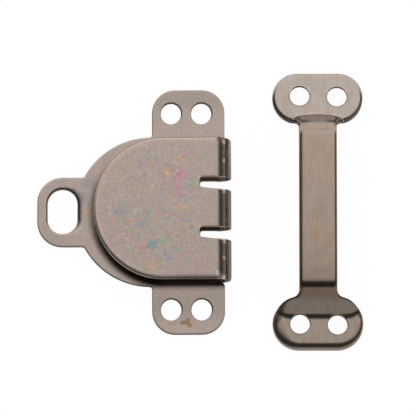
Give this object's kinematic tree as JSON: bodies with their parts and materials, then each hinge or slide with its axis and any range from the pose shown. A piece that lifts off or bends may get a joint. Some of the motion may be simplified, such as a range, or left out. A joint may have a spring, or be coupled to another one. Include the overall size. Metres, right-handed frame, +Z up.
{
  "type": "hook and bar fastener",
  "caption": "Sew-on waistband fastener: a flat folded sheet-metal hook with sewing tabs and a loop, and a raised bar with a sewing pad at each end.",
  "frame": {"origin": "on the table, under the middle of the set's bounding box", "axes": "+X from the hook towards the bar, across the closure; +Y along the bar, away from the viewer; +Z up off the table"},
  "size_m": [0.0246, 0.0212, 0.0027],
  "materials": {
    "hook_metal": "tumbled, brownish grey plating",
    "bar_metal": "satin, brownish grey plating"
  },
  "bodies": {
    "root": {"hook": "hook_metal", "bar": "bar_metal"}
  },
  "joints": []
}
